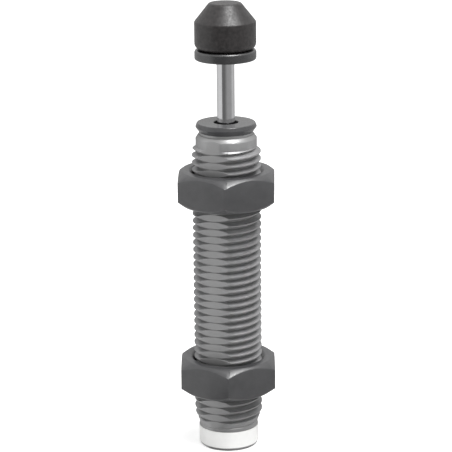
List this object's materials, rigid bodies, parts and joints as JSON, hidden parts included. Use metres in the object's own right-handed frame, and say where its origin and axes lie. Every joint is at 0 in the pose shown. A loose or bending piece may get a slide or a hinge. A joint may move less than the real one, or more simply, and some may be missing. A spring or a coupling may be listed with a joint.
{
  "type": "industrial shock absorber",
  "caption": "Miniature hydraulic shock absorber: threaded steel body with hex lock nuts, chromed rod with return spring, black bumper cap.",
  "frame": {"origin": "centre of the rear end face, with the rod fully extended", "axes": "+Z along the rod towards the bumper cap; -Y to the front, where one corner of each lock nut points; +X to the right seen from the front"},
  "size_m": [0.0194, 0.022, 0.091],
  "materials": {
    "body_steel": "grey satin plating on turned steel",
    "label_film": "white matt film, no print",
    "black_steel": "blackened steel, semi-matt",
    "bumper_plastic": "black engineering plastic, semi-matt",
    "rod_chrome": "ground and hard chromed",
    "bare_steel": "turned",
    "spring_steel": "drawn wire",
    "bronze": "sintered",
    "seal_rubber": "matt",
    "cell_foam": "closed-cell foam"
  },
  "bodies": {
    "body": {"barrel": "body_steel", "label_band": "label_film", "fill_ball": "bare_steel", "fill_screw": "bare_steel", "tube_base": "bare_steel", "pressure_tube": "bare_steel", "return_spring": "spring_steel", "rod_guide": "bare_steel", "rod_bushing": "bronze", "guide_o_ring": "seal_rubber", "accumulator_foam": "cell_foam", "gland": "black_steel", "rod_seal": "seal_rubber", "seal_washer": "bare_steel", "rod_wiper": "seal_rubber"},
    "rod": {"piston_rod": "rod_chrome", "piston": "bare_steel", "piston_ring": "bare_steel", "piston_nut": "bare_steel", "rod_head": "black_steel", "bumper_cap": "bumper_plastic"},
    "front_nut": {"front_lock_nut": "black_steel"},
    "rear_nut": {"rear_lock_nut": "black_steel"}
  },
  "joints": [
    {"name": "rod_stroke", "type": "slide", "parent": "body", "child": "rod", "axis": [0, 0, -1], "range_m": [0, 0.012], "stiffness_N_per_m": 790, "springref_m": -0.009, "deforming": ["return_spring"]},
    {"name": "front_nut_travel", "type": "slide", "parent": "body", "child": "front_nut", "axis": [0, 0, 1], "range_m": [-0.015, 0.0045]},
    {"name": "rear_nut_travel", "type": "slide", "parent": "body", "child": "rear_nut", "axis": [0, 0, 1], "range_m": [-0.0045, 0.015]}
  ]
}
